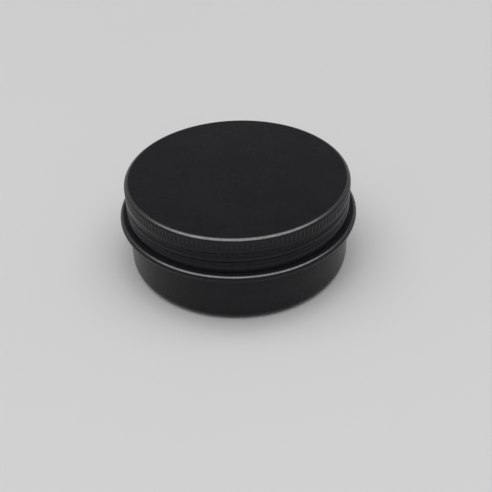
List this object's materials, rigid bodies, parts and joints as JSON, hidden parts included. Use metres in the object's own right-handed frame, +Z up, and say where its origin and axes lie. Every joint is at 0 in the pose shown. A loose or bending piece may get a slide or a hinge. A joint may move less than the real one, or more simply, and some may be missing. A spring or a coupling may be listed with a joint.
{
  "type": "screw-top tin",
  "caption": "Small round black aluminium tin with a screw-on lid, for pouring and keeping a container candle.",
  "frame": {"origin": "on the tin's axis, at the plane it stands on", "axes": "+Z up along the tin's axis, out through the lid; X and Y are equal by symmetry"},
  "size_m": [0.068, 0.068, 0.027],
  "materials": {
    "tin_base": "matte black coated outside, bare lacquered metal inside",
    "lid_liner": "white closed-cell foam",
    "screw_lid": "matte black coated outside, bare lacquered metal inside"
  },
  "bodies": {
    "tin": {"tin_base": "tin_base"},
    "liner": {"lid_liner": "lid_liner"},
    "lid": {"screw_lid": "screw_lid"}
  },
  "joints": [
    {"name": "lid_rise", "type": "slide", "parent": "tin", "child": "liner", "axis": [0, 0, 1], "range_m": [0, 0.01561]},
    {"name": "lid_turn", "type": "hinge", "parent": "liner", "child": "lid", "pos_m": [0, 0, 0.027], "axis": [0, 0, 1], "range_deg": [0, 2160]}
  ],
  "couplings": [
    {"joint": "lid_rise", "follows": "lid_turn", "m_per_rad": 0.0004138}
  ]
}
